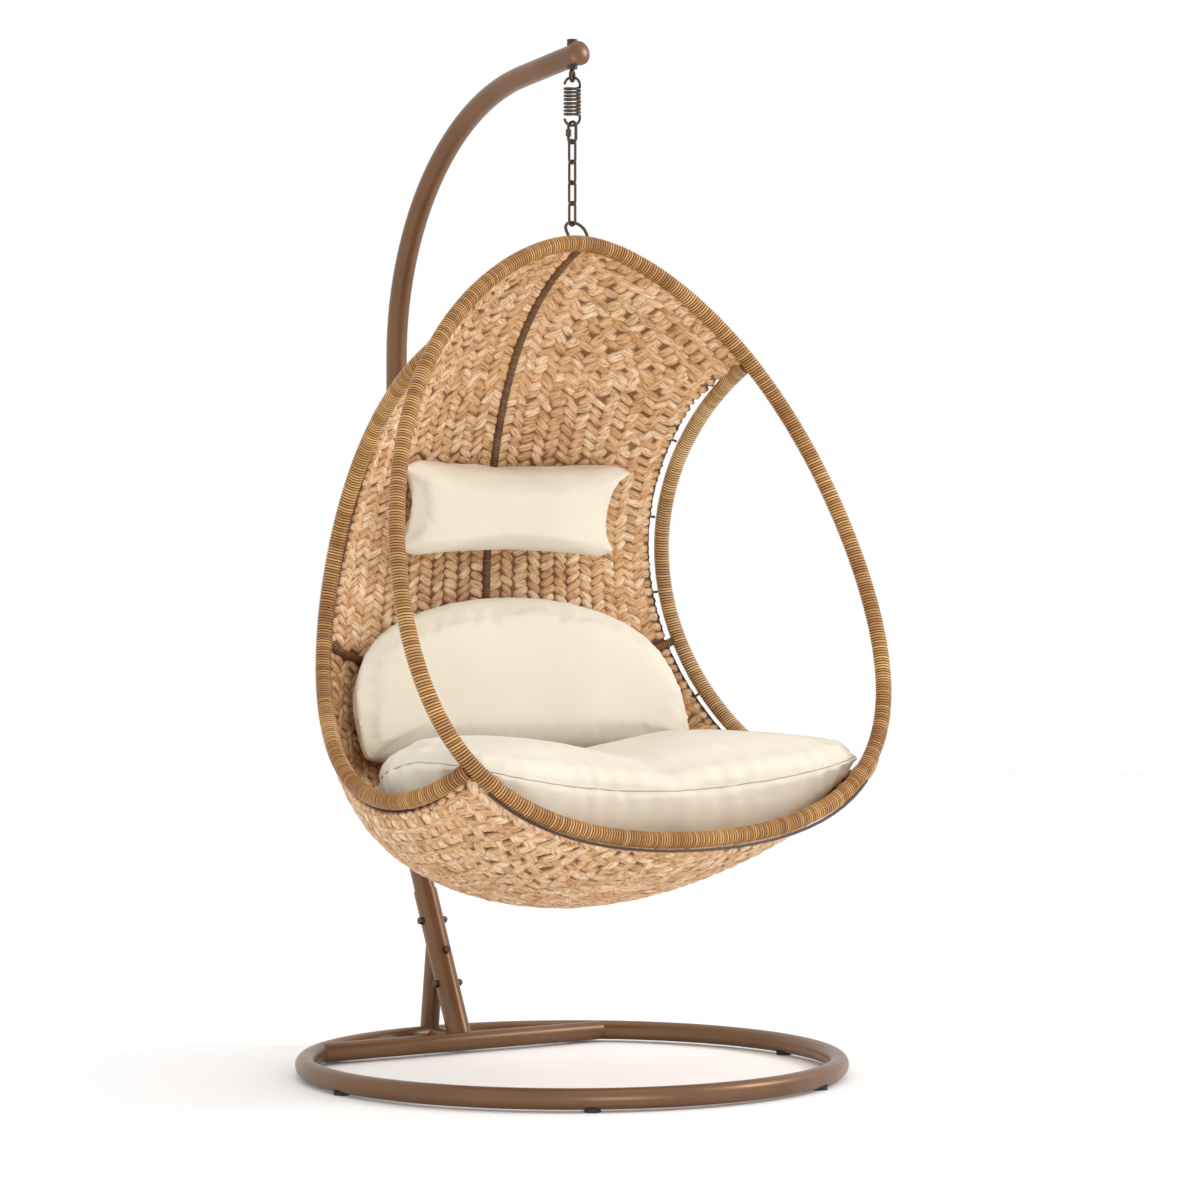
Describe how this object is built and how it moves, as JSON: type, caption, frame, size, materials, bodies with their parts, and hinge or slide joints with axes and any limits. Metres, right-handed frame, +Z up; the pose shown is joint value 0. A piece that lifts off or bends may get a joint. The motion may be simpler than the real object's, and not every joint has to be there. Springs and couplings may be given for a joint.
{
  "type": "hanging egg chair",
  "caption": "Woven egg-shaped basket seat with cushions, hung by a spring and chain from a C-shaped pole on a ring base; it swings, sways, turns and bounces.",
  "frame": {"origin": "on the floor at the centre of the base ring, straight under the hook", "axes": "+Z up; the sitter faces -Y; +X is the sitter's left"},
  "size_m": [1.078, 1.1835, 1.956],
  "materials": {
    "stand_bronze": "satin",
    "glide_rubber": "matte",
    "dark_bronze": "satin",
    "frame_tube": "satin",
    "wicker_winding": "satin",
    "brown_rib": "satin",
    "straw_weave": "satin",
    "ivory_cushion": "matte"
  },
  "bodies": {
    "stand": {"base_ring": "stand_bronze", "base_crossbar": "stand_bronze", "base_link_tube": "stand_bronze", "base_glides": "glide_rubber", "post_sleeve": "stand_bronze", "rear_strut": "stand_bronze", "main_pole": "stand_bronze", "pole_end_cap": "stand_bronze", "pole_bush": "dark_bronze", "post_bolts": "dark_bronze", "post_nuts": "dark_bronze", "post_washers": "dark_bronze"},
    "hanger": {"eye_bolt": "dark_bronze", "eye_bolt_nut": "dark_bronze", "eye_bolt_washer": "dark_bronze"},
    "spring_body": {"spring": "dark_bronze"},
    "quick_body": {"quick_link": "dark_bronze", "quick_link_nut": "dark_bronze"},
    "basket": {"chain_link_1": "dark_bronze", "chain_link_2": "dark_bronze", "chain_link_3": "dark_bronze", "chain_link_4": "dark_bronze", "basket_loop": "dark_bronze", "front_rim": "frame_tube", "front_rim_wrap": "wicker_winding", "left_hoop": "frame_tube", "right_hoop": "frame_tube", "left_hoop_wrap": "wicker_winding", "right_hoop_wrap": "wicker_winding", "back_spine": "brown_rib", "waist_ribs": "brown_rib", "left_edge_rod": "brown_rib", "right_edge_rod": "brown_rib", "front_edge_rod": "brown_rib", "edge_ties": "brown_rib", "back_shell": "straw_weave", "seat_shell": "straw_weave", "seat_cushion": "ivory_cushion", "back_cushion": "ivory_cushion", "head_pillow": "ivory_cushion"}
  },
  "joints": [
    {"name": "turn", "type": "hinge", "parent": "stand", "child": "hanger", "pos_m": [0, 0, 1.925], "axis": [0, 0, 1], "range_deg": [-30, 30]},
    {"name": "swing", "type": "hinge", "parent": "hanger", "child": "spring_body", "pos_m": [0, 0, 1.878], "axis": [-1, 0, 0], "range_deg": [-8, 15]},
    {"name": "bounce", "type": "slide", "parent": "spring_body", "child": "quick_body", "axis": [0, 0, -1], "range_m": [0, 0.03], "stiffness_N_per_m": 27000, "springref_m": -0.03, "deforming": ["spring"]},
    {"name": "sway", "type": "hinge", "parent": "quick_body", "child": "basket", "pos_m": [0, 0, 1.7602], "axis": [0, 1, 0], "range_deg": [-6, 6]}
  ]
}
